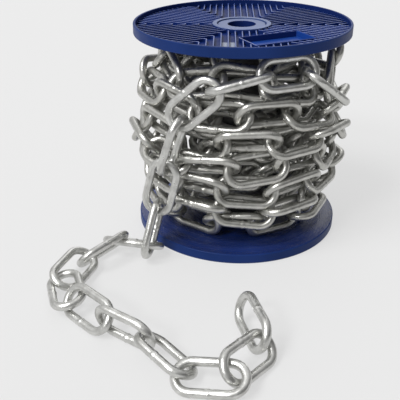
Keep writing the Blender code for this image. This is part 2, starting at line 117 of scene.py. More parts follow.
# Hidden layer of chain that shows through the gaps of the outer one
INNER_TURNS = 6.6
INNER_TOP = 0.158
INNER_FOOT = 0.020
INNER_DEPTH = 0.0125
INNER_CLEAR = 0.0036
INNER_SEED = 5
INNER_ROUNDS = 700
INNER_JOINED = 0.0040
INNER_HOOKED = 0.0067
LINKS_PER_INNER = 5
BARREL_RADII = (0.0256, 0.0370, 0.0450, 0.0460, 0.0360, 0.0256)

# Chain further in, laid round the axis where the barrel of the solids is wide enough for it, its links
# drawn from so many shapes, and the narrower barrel inside it, a dark grey solid of painted shade
DEEP_TOP = 0.122
DEEP_FOOT = 0.050
DEEP_RISE = 0.0235
DEEP_INSIDE = 0.0274
DEEP_BARREL = 0.0262
DEEP_SHAPES = 100

# The winding is laid this many times too tall and then pressed down, which keeps its rows apart
STRETCH = 1.8
UP = np.array((0.0, 0.0, 1.0))

# Easing: its rounds, how far the winding is drawn in with each, and the reach that sets how much a
# link turns for a push. Then how near two links' middles and bars come before they are looked at,
# how far past the flanges the hidden layers push, how much of a gap is made up in one round, the
# shares of the rounds that press and pull, how often the pairs are looked for, and the most that a
# link moves in metres and turns in radians in one round
FREE_ROUNDS = 600
WOUND_ROUNDS = 1100
PULL = 0.00004
TURN_REACH = 0.016
NEAR_MIDDLES = 0.056
NEAR_SPARE = 0.003
CORE_SPARE = 0.003
JOINED_FIRMNESS = 0.15
FIRMNESS = 0.45
LIMIT_FIRMNESS = 0.6
PRESSED_SHARE = 0.6
PULLED_SHARE = 0.75
PAIR_ROUNDS = 5
MOST_MOVE = 0.0015
MOST_SPIN = 0.08

# Least values, so that nothing is divided by nought
LEAST_SPREAD = 1e-18
LEAST_SLOPE = 1e-9
LEAST_GAP = 1e-6

# Free end, from the winding to the last link: middle in millimetres from the foot of the reel's
# axis, then heading, rise and roll of the link in degrees
FREE_LINKS = (
    (65, -56, 141, -150, 40, -11),
    (32, -72, 158, -161, -3, -65),
    (-5, -82, 153, -170, -7, 15),
    (-40, -80, 139, 149, -42, -95),
    (-57, -79, 102, -174, -77, 32),
    (-66, -76, 60, 159, -79, 91),
    (-74, -77, 23, -103, -61, -87),
    (-91, -72, 9, 172, 0, 31),
    (-115, -88, 14, -132, -5, 45),
    (-136, -113, 10, -112, 0, -20),
    (-137, -141, 8, -76, -4, 10),
    (-115, -171, 10, -49, 0, 50),
    (-89, -191, 12, -34, 0, 107),
    (-57, -218, 9, -49, 4, -28),
    (-27, -240, 9, -3, 2, 25),
    (-1, -224, 12, 46, 6, 40),
    (1, -187, 14, 106, 8, -70),
)
LINKS_ON_REEL = 6

# Looks of the chain: round wire, its weld, and how far the wound links reach to touch one another
WIRE = 0.0032
WOUND_EXTRA = 0.0008
INNER_EXTRA = 0.0010
TOUCH_STEP = 0.0063
SETTLE_ROUNDS = 60
WIRE_SWELL = 0.00005
SWELL_RATE = 0.45
WELD_COLLAR = 0.00026
WELD_WIDTH = 0.0009
WELD_LEAN = 0.35
WELD_LUMPS = 0.2
WELD_GROOVE = 0.35
WELD_GROOVE_AT = 0.0021
WELD_GROOVE_WIDTH = 0.0006
LINK_SHAPES = 4
BAR_STATIONS = (0.0060, 0.0034, 0.0024, 0.0018, 0.0012, 0.0006)
CROWN_STEPS = 14
RING_SIDES = 20
LINK_SEED = 11
LINK_SHARP = 60
BARREL_STEPS = 96

# Looks of the flanges. GUARD is the flat left beside an arc, and the margin in telling faces apart.
# An edge is sharp from FLANGE_SHARP degrees on, and on the chain from LINK_SHARP
TURN_STEPS = 180
ROUND_STEPS = 4
APEX_STEPS = 5
EDGE_STEPS = 3
FLANGE_SHARP = 35
SECTORS = 6
SECTOR_TURN = 60
RIB_STEP = 0.005535
RIBS_A_SIDE = 7
RIB_WIDTH = 0.0011
RIB_EDGE = 0.00035
RIB_DROP = 0.0032
PATTERN_TURN = -2.4
APEX_ROUND = 0.0022
SMALL_ROUND = 0.0004
HUB_SUNK = 0.0008
HUB_GROOVE = 0.0015
GROOVE_WIDTH = 0.0010
GUARD = 0.0002
OVERLAP = 0.0003
RIB_GRAIN = 0.0004
SHORTEST_RIB = 0.001

# Patterns on the surfaces: the part of a noise's range that is used, each noise's scale and detail,
# the distortion and detail of turned rings, and the relief's height in metres
NOISE_RANGE = (0.3, 0.7)
ZINC_MOTTLE = (140, 4)
ZINC_ROUGH = (260, 3)
ZINC_LUMPS = (420, 3)
ZINC_GRAIN = (1500, 2)
ZINC_GRAIN_SHARE = 0.3
PLASTIC_FLOW = (22, 3)
PLASTIC_ROUGH = (90, 4)
PLASTIC_GRAIN = (700, 2)
PLASTIC_GRAIN_SHARE = 0.5
RING_UNEVEN = (0.6, 2)
ZINC_RELIEF = 0.00007
FINE_RELIEF = 0.00006
RING_RELIEF = 0.00045

# Plastics: dark and light colour, lowest and highest roughness, gloss and the scale of turned rings.
# Their order is the order of the material numbers below. The web, rib top, hub and pocket colours are
# lit and shaded copies of one blue, so they hold painted light and shade
PLASTICS = {
    "rim_blue": ((0.006, 0.022, 0.105), (0.009, 0.029, 0.135), 0.34, 0.46, 0.10, 0),
    # The web's colour is darker than the rim's: painted shade, for the web between the ribs and the
    # other recessed faces
    "web_painted_shade_blue": ((0.004, 0.014, 0.088), (0.007, 0.022, 0.125), 0.42, 0.55, 0.08, 0),
    # The rib tops' paler blue is a painted highlight
    "rib_top_painted_highlight_blue": ((0.040, 0.070, 0.235), (0.058, 0.096, 0.290), 0.30, 0.40, 0.60, 0),
    # The hub's paler blue is a painted sheen, standing for the bright reflection on its flat top
    "hub_painted_sheen_blue": ((0.050, 0.082, 0.210), (0.068, 0.106, 0.255), 0.30, 0.40, 0.50, 0),
    # The pocket's brighter blue is painted light, on its floor and on the inside of one end wall
    "pocket_painted_light_blue": ((0.007, 0.040, 0.215), (0.010, 0.050, 0.255), 0.30, 0.40, 0.30, 0),
    "turned_blue": ((0.007, 0.018, 0.098), (0.011, 0.028, 0.138), 0.10, 0.28, 0.50, 26),
    "pale_sticker": ((0.22, 0.25, 0.33), (0.27, 0.30, 0.38), 0.45, 0.60, 0.30, 0),
}

RIM, WEB_SHADE, TOP_HIGHLIGHT, HUB_SHEEN, POCKET_LIT, INNER, STICKER = range(len(PLASTICS))

# Steels: dark and light colour, lowest and highest roughness
STEELS = {
    "zinc_steel": ((0.49, 0.49, 0.47), (0.67, 0.67, 0.65), 0.27, 0.38),
    # The wound chain's steel is a darker copy of the free links' steel: painted shade
    "wound_painted_shade_steel": ((0.41, 0.41, 0.385), (0.59, 0.585, 0.555), 0.26, 0.37),
    # The barrel's dark grey stands for the shade deep in the winding: painted shade
    "barrel_painted_shade": ((0.16, 0.16, 0.16), (0.22, 0.22, 0.22), 0.5, 0.7),
}
STEEL_METALLIC = 0.92

# Light: the dome's colours at the horizon and overhead, the side on which it is dim, the floor, and
# the lamps with the direction they stand in, their spread in degrees and their power
DOME_LOW = (0.37, 0.37, 0.37)
DOME_HIGH = (0.92, 0.92, 0.92)
DIM_SIDE = (0.85, -0.52, 0.0)
DIM_SHARE = 0.15
OVERHEAD = 0.9
FLOOR_HALF = 6.0
FLOOR_BELOW = 0.0002
FLOOR_SHADE = 0.17
FLOOR_GLOW = 0.59
FLOOR_ROUGHNESS = 0.9
FLOOR_GLOSS = 0.1
LAMPS = (
    ("key", (-0.9, -0.5, 1.5), 22, 1.7),
    ("back", (0.3, 1.4, 1.0), 40, 0.4),
    ("spark", (-0.75, -0.9, 0.9), 12, 1.2),
)

# Camera, fitted to the photograph: where it stands from the foot of the reel's axis, its turns in
# degrees, and the small shift that the photograph's framing has
CAMERA_X = -0.0373
CAMERA_Y = -0.5601
CAMERA_Z = 0.3003
CAMERA_DOWN = 28.13
CAMERA_TURN = 1.59
CAMERA_ROLL = -0.64
CAMERA_LENS = 59.91
CAMERA_SENSOR = 36.0
CAMERA_SHIFT = (0.05, 0.03)


def unit(vectors):
    return vectors / np.linalg.norm(vectors, axis=-1, keepdims=True)


def link_outline():
    """The centreline of a link as a closed polygon, along X, on the XY plane."""
    right = [
        (STRAIGHT_HALF + CROWN_RADIUS * math.cos(a), CROWN_RADIUS * math.sin(a))
        for a in np.radians(CROWN_ANGLES)
    ]
    return np.array(right + [(-x, -y) for x, y in right])


OUTLINE = link_outline()


def outlines(middles, axes, faces, extra):
    """The centreline points of every link, from its middle, its length and the way it faces."""
    sides = np.cross(faces, axes)
    along = OUTLINE[:, :1] + np.sign(OUTLINE[:, :1]) * extra[:, None, None]
    return middles[:, None] + along * axes[:, None] + OUTLINE[:, 1:] * sides[:, None]


def nearest(first, second):
    """For each pair of closed polygons: the gap, and where it is on the first and on the second."""
    start_a, start_b = first[:, :, None], second[:, None, :]
    run_a = np.roll(first, -1, axis=1)[:, :, None] - start_a
    run_b = np.roll(second, -1, axis=1)[:, None, :] - start_b
    between = start_a - start_b
    aa = (run_a**2).sum(-1)
    bb = (run_b**2).sum(-1)
    ab = (run_a * run_b).sum(-1)
    ad = (run_a * between).sum(-1)
    bd = (run_b * between).sum(-1)
    spread = np.maximum(aa * bb - ab * ab, LEAST_SPREAD)
    along_a = np.clip((ab * bd - ad * bb) / spread, 0, 1)
    along_b = np.clip((ab * along_a + bd) / bb, 0, 1)
    along_a = np.clip((ab * along_b - ad) / aa, 0, 1)
    apart = between + along_a[..., None] * run_a - along_b[..., None] * run_b
    pairs = len(first)
    points = first.shape[1]
    squares = (apart**2).sum(-1).reshape(pairs, -1)
    best = squares.argmin(1)
    rows = np.arange(pairs)
    i, j = best // points, best % points
    at_a = first[rows, i] + along_a[rows, i, j][:, None] * run_a[rows, i, 0]
    at_b = second[rows, j] + along_b[rows, i, j][:, None] * run_b[rows, 0, j]
    return np.sqrt(squares[rows, best]), at_a, at_b


def core_radius(azimuth, height):
    """Radius of the hidden layers at this azimuth in degrees and this height."""
    radius = np.interp(height, CORE_HEIGHTS, CORE_RADII)
    for middle, level, out in BULGES:
        aside = ((azimuth - middle + 180) % 360 - 180) / BULGE_TURN
        above = (height - level) / BULGE_RISE
        radius = radius + out * np.exp(-(aside**2) - above**2)
    return radius


def barrel_radius(height):
    """Radius of the dark barrel inside the hidden layer."""
    return np.interp(height, CORE_HEIGHTS, BARREL_RADII)


def face_of(axes, outward, rolls):
    """The way links face: outward, turned about their length by their roll in degrees."""
    outward = unit(outward - axes * (outward * axes).sum(-1, keepdims=True))
    turn = np.radians(rolls)
    return np.cos(turn) * outward + np.sin(turn) * np.cross(axes, outward)


def free_links():
    """The free end as listed, before its links are eased apart."""
    middles, axes, faces = [], [], []
    for x, y, z, heading, rise, roll in FREE_LINKS:
        heading, rise = math.radians(heading), math.radians(rise)
        level = math.cos(rise)
        axis = np.array((math.cos(heading) * level, math.sin(heading) * level, math.sin(rise)))
        middles.append((x / 1000, y / 1000, z / 1000))
        axes.append(axis)
        faces.append(face_of(axis, UP, roll))
    return np.array(middles), np.array(axes), np.array(faces)


def links_along(path, seed, first_roll):
    """Links hooked one after another along a path, leaning to either side in turn."""
    draw = np.random.default_rng(seed)
    along = np.append(0, np.cumsum(np.linalg.norm(np.diff(path, axis=0), axis=1)))
    places = np.arange(0, along[-1], PITCH * SPACING)
    ends = np.column_stack([np.interp(places, along, path[:, k]) for k in range(3)])
    middles = (ends[1:] + ends[:-1]) / 2
    axes = unit(ends[1:] - ends[:-1])
    side = np.where(np.arange(len(middles)) % 2, 1.0, -1.0)
    rolls = LEAN * side + draw.uniform(-LEAN_SPREAD, LEAN_SPREAD, len(middles))
    rolls[0] = first_roll
    return middles, axes, face_of(axes, middles * (1, 1, 0), rolls[:, None])


def wound_links(start):
    """The winding before it is pressed down, from the top of the free end round to its foot."""
    swept = np.linspace(0, TURNS * 2 * math.pi, PATH_POINTS)
    turned = math.atan2(start[1], start[0]) + swept
    heights = TOP_ROW + (FOOT_ROW - TOP_ROW) * swept / swept[-1]
    waves = SLOW_WAVE * np.sin(SLOW_RATE * swept) + QUICK_WAVE * np.sin(QUICK_RATE * swept)
    heights += waves
    eased = np.minimum(1, swept / EASE_IN)
    heights = start[2] + (heights - start[2]) * eased
    radii = core_radius(np.degrees(turned), heights) + START_OUT
    radii = math.hypot(start[0], start[1]) * (1 - eased) + radii * eased
    heights = start[2] + (heights - start[2]) * STRETCH
    path = np.column_stack((radii * np.cos(turned), radii * np.sin(turned), heights))
    return links_along(path, ROLL_SEED, 0)


def inner_links():
    """The hidden layer before it is pressed down: a helix the other way round."""
    swept = np.linspace(0, INNER_TURNS * 2 * math.pi, PATH_POINTS)
    middle = (INNER_TOP + INNER_FOOT) / 2
    heights = INNER_TOP + (INNER_FOOT - INNER_TOP) * swept / swept[-1]
    radii = core_radius(np.degrees(-swept), heights) - INNER_DEPTH
    heights = middle + (heights - middle) * STRETCH
    path = np.column_stack((radii * np.cos(swept), -radii * np.sin(swept), heights))
    return links_along(path, INNER_SEED, LEAN)


def near_pairs(middles, axes):
    """Pairs of links that could touch, going by the distance between their straight middles."""
    first, second = np.triu_indices(len(middles), 1)
    close = np.linalg.norm(middles[first] - middles[second], axis=-1) < NEAR_MIDDLES
    first, second = first[close], second[close]
    between = middles[first] - middles[second]
    a, b = axes[first], axes[second]
    ab, ad, bd = (a * b).sum(-1), (a * between).sum(-1), (b * between).sum(-1)
    spread = np.maximum(1 - ab * ab, LEAST_SLOPE)
    along_a = np.clip((ab * bd - ad) / spread, -STRAIGHT_HALF, STRAIGHT_HALF)
    along_b = np.clip(ab * along_a + bd, -STRAIGHT_HALF, STRAIGHT_HALF)
    along_a = np.clip(ab * along_b - ad, -STRAIGHT_HALF, STRAIGHT_HALF)
    apart = np.linalg.norm(between + along_a[:, None] * a - along_b[:, None] * b, axis=-1)
    close = apart < 2 * CROWN_RADIUS + CLEAR_STEP + NEAR_SPARE
    return first[close], second[close]


def ease_apart(links, loose, steps, on_reel, rounds, pressed_at=None, extra=None, inner=False):
    """Push links off one another, the hidden layers, the flanges and the floor, a little each round.

    Neighbours along the chain come to the distance in steps and all others to CLEAR_STEP or more.
    A link that isn't loose stays put. With pressed_at, a height, the winding starts STRETCH times
    too tall about that height and is pressed down to size over the first part of the rounds.
    """
    middles, axes, faces = (np.array(part) for part in links)
    rows = np.arange(len(middles))
    extra = np.zeros(len(middles)) if extra is None else extra
    stretch = 1.0 if pressed_at is None else STRETCH
    for turn in range(rounds):
        if pressed_at is not None:
            wanted = 1 + (STRETCH - 1) * max(0.0, 1 - turn / (PRESSED_SHARE * rounds))
            off = middles[:, 2] - pressed_at
            middles[:, 2] += np.where(loose > 0, off * (wanted / stretch - 1), 0)
            stretch = wanted
        if turn % PAIR_ROUNDS == 0:
            first, second = near_pairs(middles, axes)
            linked = second == first + 1
            step = np.where(linked, np.append(steps, 0)[first], CLEAR_STEP)
            firm = np.where(step <= JOINED_STEP, JOINED_FIRMNESS, FIRMNESS)
        shapes = outlines(middles, axes, faces, extra)
        gap, at_a, at_b = nearest(shapes[first], shapes[second])
        push = np.where(linked, step - gap, np.maximum(step - gap, 0))
        away = (at_a - at_b) / np.maximum(gap, LEAST_GAP)[:, None]
        turn_a = np.cross(at_a - middles[first], away)
        turn_b = np.cross(at_b - middles[second], away)
        give = loose[first] * (1 + (turn_a**2).sum(-1) / TURN_REACH**2)
        give += loose[second] * (1 + (turn_b**2).sum(-1) / TURN_REACH**2)
        size = firm * push / np.maximum(give, LEAST_GAP)
        move, spin = np.zeros((len(middles), 3)), np.zeros((len(middles), 3))
        for owner, sign, twist in ((first, 1, turn_a), (second, -1, turn_b)):
            share = sign * (loose[owner] * size)[:, None]
            np.add.at(move, owner, share * away)
            np.add.at(spin, owner, share * twist / TURN_REACH**2)
        between = (shapes + np.roll(shapes, -1, axis=1)) / 2
        points = np.concatenate((shapes, between), axis=1)
        radial = points * (1, 1, 0)
        radii = np.linalg.norm(radial, axis=-1)
        heights = points[..., 2]
        if pressed_at is not None:
            heights = pressed_at + (heights - pressed_at) / stretch
        inside = (heights > WOUND_BASE - CORE_SPARE) & (heights < WOUND_TOP + CORE_SPARE)
        azimuth = np.degrees(np.arctan2(points[..., 1], points[..., 0]))
        edge = core_radius(azimuth, heights)
        deep = np.where(inside, edge + CORE_STEP - radii, 0)
        between_flanges = on_reel[:, None] & (radii < FLANGE_RADIUS + CORE_STEP)
        low = np.where(between_flanges, WOUND_BASE + FLOOR_STEP, FLOOR_STEP) - heights
        high = heights - np.where(between_flanges, WOUND_TOP - FLOOR_STEP, 1.0)
        outward = radial / np.maximum(radii, LEAST_SLOPE)[..., None]
        limits = [(deep, outward), (low, UP), (high, -UP)]
        if inner:
            proud = radii - (edge - INNER_CLEAR)
            sunk = barrel_radius(heights) + INNER_CLEAR - radii
            limits = [(proud, -outward), (sunk, outward), (low, UP), (high, -UP)]
        for depth, direction in limits:
            worst = depth.argmax(1)
            amount = np.maximum(depth[rows, worst], 0) * (loose > 0)
            direction = np.broadcast_to(direction, points.shape)[rows, worst]
            twist = np.cross(points[rows, worst] - middles, direction)
            size = LIMIT_FIRMNESS * amount / (1 + (twist**2).sum(-1) / TURN_REACH**2)
            move += size[:, None] * direction
            spin += (size / TURN_REACH**2)[:, None] * twist
        if pressed_at is not None and not inner and turn < PULLED_SHARE * rounds:
            move -= unit(middles * (1, 1, 0)) * (PULL * loose * on_reel)[:, None]
        middles = middles + np.clip(move, -MOST_MOVE, MOST_MOVE)
        spin = np.clip(spin, -MOST_SPIN, MOST_SPIN)
        axes = unit(axes + np.cross(spin, axes))
        faces = faces + np.cross(spin, faces)
        faces = unit(faces - axes * (faces * axes).sum(-1, keepdims=True))
    return middles, axes, faces


def lay_chain():
    """Every link in one list, from the last free link back to the foot of the winding."""
    links = free_links()
    free = len(links[0])
    on_reel = np.arange(free) < LINKS_ON_REEL
    steps = np.full(free - 1, FREE_STEP)
    middles, axes, faces = ease_apart(links, np.ones(free), steps, on_reel, FREE_ROUNDS)

    start = middles[0] - (HALF_LENGTH - START_INSIDE) * axes[0]
    wound = wound_links(start)
    middles = np.vstack((middles[::-1], wound[0]))
    axes = np.vstack((-axes[::-1], wound[1]))
    faces = np.vstack((faces[::-1], wound[2]))
    count = len(middles)
    place = np.arange(count - 1) - free
    in_run = (place >= 0) & ((place + 1) % LINKS_PER_RUN != 0)
    steps = np.where(in_run, JOINED_STEP, HOOKED_STEP)
    loose = np.where(np.arange(count) < free, 0.0, 1.0)
    on_reel = np.append(on_reel[::-1], np.ones(count - free, bool))
    links = (middles, axes, faces)
    laid = ease_apart(links, loose, steps, on_reel, WOUND_ROUNDS, start[2])

    # The wound links reach a little further here, so that round wires touch where solids join
    extra = np.where(loose > 0, WOUND_EXTRA, 0.0)
    steps = np.where(place >= -1, TOUCH_STEP, HOOKED_STEP)
    return free, ease_apart(laid, loose, steps, on_reel, SETTLE_ROUNDS, extra=extra)


def lay_inner():
    """The links of the hidden layer, from the top down."""
    links = inner_links()
    count = len(links[0])
    place = np.arange(count - 1)
    steps = np.where((place + 1) % LINKS_PER_INNER != 0, INNER_JOINED, INNER_HOOKED)
    middle = (INNER_TOP + INNER_FOOT) / 2
    free = np.ones(count)
    laid = ease_apart(links, free, steps, free > 0, INNER_ROUNDS, middle, inner=True)
    extra = np.full(count, INNER_EXTRA)
    steps = np.full(count - 1, TOUCH_STEP)
    return ease_apart(laid, free, steps, free > 0, SETTLE_ROUNDS, extra=extra, inner=True)


def deep_links(draw):
    """Chain further in: a helix of links bent round the axis, leaning to either side in turn."""
    solids = []
    height, azimuth, side = DEEP_TOP, 0.0, 1
    while height > DEEP_FOOT:
        room = (barrel_radius(height) - DEEP_INSIDE) / 2
        middle = DEEP_INSIDE + room
        roll = side * math.asin((room - WIRE) / CROWN_RADIUS)
        vertices, faces = link_shape(0.0, int(draw.integers(DEEP_SHAPES)))
        x, y, z = vertices.T
        out = middle + y * math.sin(roll) + z * math.cos(roll)
        turn = azimuth + x / middle
        fall = DEEP_RISE * x / (2 * math.pi * middle)
        up = height - fall + y * math.cos(roll) - z * math.sin(roll)
        bent = np.column_stack((REEL_X + out * np.cos(turn), REEL_Y + out * np.sin(turn), up))
        solids.append((bent, outward(bent, faces), 0))
        azimuth += PITCH / middle
        height -= DEEP_RISE * PITCH / (2 * math.pi * middle)
        side = -side
    return solids


def rounded(points, radii, steps, closed=True):
    """A flat polygon or path with its corners turned into arcs, flat for GUARD beside each arc."""
    points = [np.array(point, float) for point in points]
    made = []
    for i, (point, radius) in enumerate(zip(points, radii)):
        if radius <= 0 or (not closed and i in (0, len(points) - 1)):
            made.append(point)
            continue
        back = unit(points[i - 1] - point)
        on = unit(points[(i + 1) % len(points)] - point)
        half = math.acos(np.clip(back @ on, -1, 1)) / 2
        middle = point + unit(back + on) * radius / math.sin(half)
        reach = radius / math.tan(half)
        start, end = point + back * reach - middle, point + on * reach - middle
        sweep = math.pi - 2 * half
        made.append(middle + start + back * GUARD)
        for t in np.linspace(0, 1, steps + 1):
            share = math.sin((1 - t) * sweep) * start + math.sin(t * sweep) * end
            made.append(middle + share / math.sin(sweep))
        made.append(middle + end + on * GUARD)
    return np.array(made)


def outward(vertices, faces):
    """The faces of a closed mesh, turned over if they point inwards."""
    volume = 0.0
    for face in faces:
        a = vertices[face[0]]
        for i in range(1, len(face) - 1):
            volume += a @ np.cross(vertices[face[i]], vertices[face[i + 1]])
    return faces if volume > 0 else [face[::-1] for face in faces]


def turned(profile, steps):
    """A closed profile of (radius, height) turned about Z."""
    profile = np.array(profile)
    count = len(profile)
    angles = np.arange(steps) * 2 * math.pi / steps
    vertices = np.concatenate(
        [np.column_stack((profile[:, :1] * (math.cos(a), math.sin(a)), profile[:, 1])) for a in angles]
    )
    faces = []
    for s in range(steps):
        a, b = s * count, (s + 1) % steps * count
        for k in range(count):
            n = (k + 1) % count
            faces.append((a + k, b + k, b + n, a + n))
    return vertices, outward(vertices, faces)


def ribbon(path, section, closed=False):
    """A closed section of (offset, height) swept along a level path."""
    path, section = np.array(path), np.array(section)
    on = np.roll(path, -1, axis=0) - path
    back = path - np.roll(path, 1, axis=0)
    if not closed:
        on[-1], back[0] = back[-1], on[0]
    on, back = unit(on), unit(back)
    across_on = np.column_stack((-on[:, 1], on[:, 0]))
    across_back = np.column_stack((-back[:, 1], back[:, 0]))
    across = unit(across_on + across_back)
    across = across / (across * across_on).sum(-1, keepdims=True)
    count, places = len(section), len(path)
    flat = path[:, None] + section[None, :, :1] * across[:, None]
    heights = np.broadcast_to(section[None, :, 1:], (places, count, 1))
    vertices = np.concatenate((flat, heights), axis=-1).reshape(-1, 3)
    faces = []
    for s in range(places if closed else places - 1):
        a, b = s * count, (s + 1) % places * count
        for k in range(count):
            n = (k + 1) % count
            faces.append((a + k, b + k, b + n, a + n))
    if not closed:
        faces.append(tuple(range(count))[::-1])
        faces.append(tuple(range((places - 1) * count, places * count)))
    return vertices, outward(vertices, faces)


def slab(outline, base, top):
    """A level outline made solid between two heights."""
    count = len(outline)
    low = np.column_stack((outline, np.full(count, base)))
    vertices = np.vstack((low, low + (0, 0, top - base)))
    faces = [tuple(range(count))[::-1], tuple(range(count, 2 * count))]
    faces += [(i, (i + 1) % count, (i + 1) % count + count, i + count) for i in range(count)]
    return vertices, outward(vertices, faces)


def piece(name, solids, materials, stands_for, sharp_angle=FLANGE_SHARP, place=(0, 0, 0)):
    """One object of closed solids, each of them (vertices, faces, material number)."""
    vertices, faces, numbers = [], [], []
    count = 0
    for points, polygons, number in solids:
        vertices.append(points)
        faces += [tuple(count + i for i in polygon) for polygon in polygons]
        numbers += np.broadcast_to(number, len(polygons)).tolist()
        count += len(points)
    mesh = bpy.data.meshes.new(name)
    mesh.from_pydata(np.concatenate(vertices).tolist(), [], faces)
    for made_of in materials:
        mesh.materials.append(made_of)
    mesh.polygons.foreach_set("material_index", numbers)
    mesh.shade_smooth()
    mesh.set_sharp_from_angle(angle=math.radians(sharp_angle))
    made = bpy.data.objects.new(name, mesh)
    made.location = place
    bpy.context.scene.collection.objects.link(made)
    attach(made, "root")
    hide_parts(*stands_for)
    return made


def link_shape(extra, seed):
    """One round link along X: rings round its centreline, with a weld's collar on one bar."""
    draw = np.random.default_rng(seed)
    half = STRAIGHT_HALF + extra
    offsets = [half, *BAR_STATIONS]
    weld_bar = [-x for x in offsets] + [0.0] + offsets[::-1]
    plain_bar = [half, half / 3, -half / 3, -half]
    arc = np.linspace(-math.pi / 2, math.pi / 2, CROWN_STEPS + 1)[1:-1]
    stations = [(x, -CROWN_RADIUS, 0.0, -1.0, x) for x in weld_bar]
    stations += [
        (half + CROWN_RADIUS * math.cos(a), CROWN_RADIUS * math.sin(a), math.cos(a), math.sin(a), 1.0)
        for a in arc
    ]
    stations += [(x, CROWN_RADIUS, 0.0, 1.0, 1.0) for x in plain_bar]
    around_end = stations[len(weld_bar) : len(weld_bar) + len(arc)]
    stations += [(-x, -y, -across, -up, far) for x, y, across, up, far in around_end]
    stations = np.array(stations)
    around = np.arange(RING_SIDES) * 2 * math.pi / RING_SIDES
    uneven = 1 + WELD_LEAN * np.sin(2 * around + draw.uniform(0, 6))
    uneven = uneven + WELD_LUMPS * np.sin(5 * around + draw.uniform(0, 6))
    from_weld = stations[:, 4:]
    collar = WELD_COLLAR * np.exp(-((from_weld / WELD_WIDTH) ** 2)) * uneven
    beside = (np.abs(from_weld) - WELD_GROOVE_AT) / WELD_GROOVE_WIDTH
    groove = WELD_GROOVE * WELD_COLLAR * np.exp(-(beside**2))
    along = np.arange(len(stations))[:, None] * SWELL_RATE
    swell = WIRE_SWELL * np.sin(3 * around + along + draw.uniform(0, 6))
    radii = WIRE + collar - groove + swell
    out = np.cos(around) * radii
    vertices = np.stack(
        (
            stations[:, :1] + out * stations[:, 2:3],
            stations[:, 1:2] + out * stations[:, 3:4],
            np.sin(around) * radii,
        ),
        axis=-1,
    ).reshape(-1, 3)
    count = len(stations)
    faces = []
    for s in range(count):
        a, b = s * RING_SIDES, (s + 1) % count * RING_SIDES
        for k in range(RING_SIDES):
            n = (k + 1) % RING_SIDES
            faces.append((a + k, b + k, b + n, a + n))
    return vertices, outward(vertices, faces)


def links_at(poses, extra, draw):
    """Links at their poses, each with its weld on a side drawn by lot."""
    shapes = [link_shape(extra, LINK_SEED + i) for i in range(LINK_SHAPES)]
    solids = []
    for middle, axis, face in poses:
        vertices, faces = shapes[draw.integers(len(shapes))]
        turn = 1 if draw.random() < 0.5 else -1
        basis = np.array((turn * axis, turn * np.cross(face, axis), face))
        place = middle + np.array((REEL_X, REEL_Y, 0.0))
        solids.append((vertices @ basis + place, faces, 0))
    return solids


def rib_paths():
    """Ribs of a flange as level paths: straight ones by the hub, V shapes between the sectors."""
    hub = HUB_RADIUS - SMALL_ROUND
    rim = FLANGE_RADIUS - RIM_WIDTH + SMALL_ROUND
    paths = []
    for sector in range(SECTORS):
        start = 90 + PATTERN_TURN + SECTOR_TURN * sector
        turns = [math.radians(start + more) for more in (0, SECTOR_TURN)]
        out = [np.array((math.cos(a), math.sin(a))) for a in turns]
        left = [np.array((-math.sin(a), math.cos(a))) for a in turns]
        paths.append([out[0] * hub, out[0] * rim])
        for number in range(1, RIBS_A_SIDE + 1):
            offset = number * RIB_STEP
            far = math.sqrt(rim**2 - offset**2)
            ends = [left[0] * offset + out[0] * far, out[1] * far - left[1] * offset]
            if 2 * offset < hub:
                near = math.sqrt(hub**2 - offset**2)
                paths.append([left[0] * offset + out[0] * near, ends[0]])
                paths.append([out[1] * near - left[1] * offset, ends[1]])
            else:
                apex = unit(out[0] + out[1]) * 2 * offset
                paths.append(rounded([ends[0], apex, ends[1]], (0, APEX_ROUND, 0), APEX_STEPS, False))
    return paths


def wall_section(width, base, top):
    """The section of a thin moulded wall, its top edges rounded."""
    half = width / 2
    corners = [(-half, base), (half, base), (half, top), (-half, top)]
    return rounded(corners, (0, 0, RIB_EDGE, RIB_EDGE), EDGE_STEPS)


def pocket_corners(length, width):
    """The label pocket's rectangle in the flange's plane, from the reel's axis."""
    turn = math.radians(POCKET_TURN)
    along = np.array((math.cos(turn), math.sin(turn))) * length / 2
    across = np.array((-math.sin(turn), math.cos(turn))) * width / 2
    middle = np.array((POCKET_X, POCKET_Y))
    near = [middle - along - across, middle + along - across]
    return near + [middle + along + across, middle - along + across]


def in_pocket(x, y):
    """A place on the flange as seen from the label pocket: along it and across it."""
    turn = math.radians(-POCKET_TURN)
    x, y = x - POCKET_X, y - POCKET_Y
    return x * math.cos(turn) - y * math.sin(turn), x * math.sin(turn) + y * math.cos(turn)


def outside_pocket(path):
    """The stretches of a path that the label pocket leaves."""
    fine, corners = [], []
    for a, b in zip(path[:-1], path[1:]):
        steps = max(1, int(np.linalg.norm(b - a) / RIB_GRAIN))
        fine += [a + (b - a) * i / steps for i in range(steps)]
        corners += [True] + [False] * (steps - 1)
    fine.append(path[-1])
    corners.append(True)
    stretches, current = [], []
    for point, corner in zip(fine, corners):
        x, y = in_pocket(*point)
        if abs(x) < (POCKET_LENGTH - POCKET_WALL) / 2 and abs(y) < (POCKET_WIDTH - POCKET_WALL) / 2:
            stretches.append(current)
            current = []
        else:
            current.append((point, corner))
    stretches.append(current)
    kept = []
    for stretch in stretches:
        last = len(stretch) - 1
        points = [p for i, (p, corner) in enumerate(stretch) if corner or i in (0, last)]
        if len(points) > 1 and np.linalg.norm(points[-1] - points[0]) > SHORTEST_RIB:
            kept.append(points)
    return kept


def numbered(vertices, faces, choose):
    """A material number for each face, chosen by the place of its middle."""
    return [choose(*vertices[list(face)].mean(0)) for face in faces]


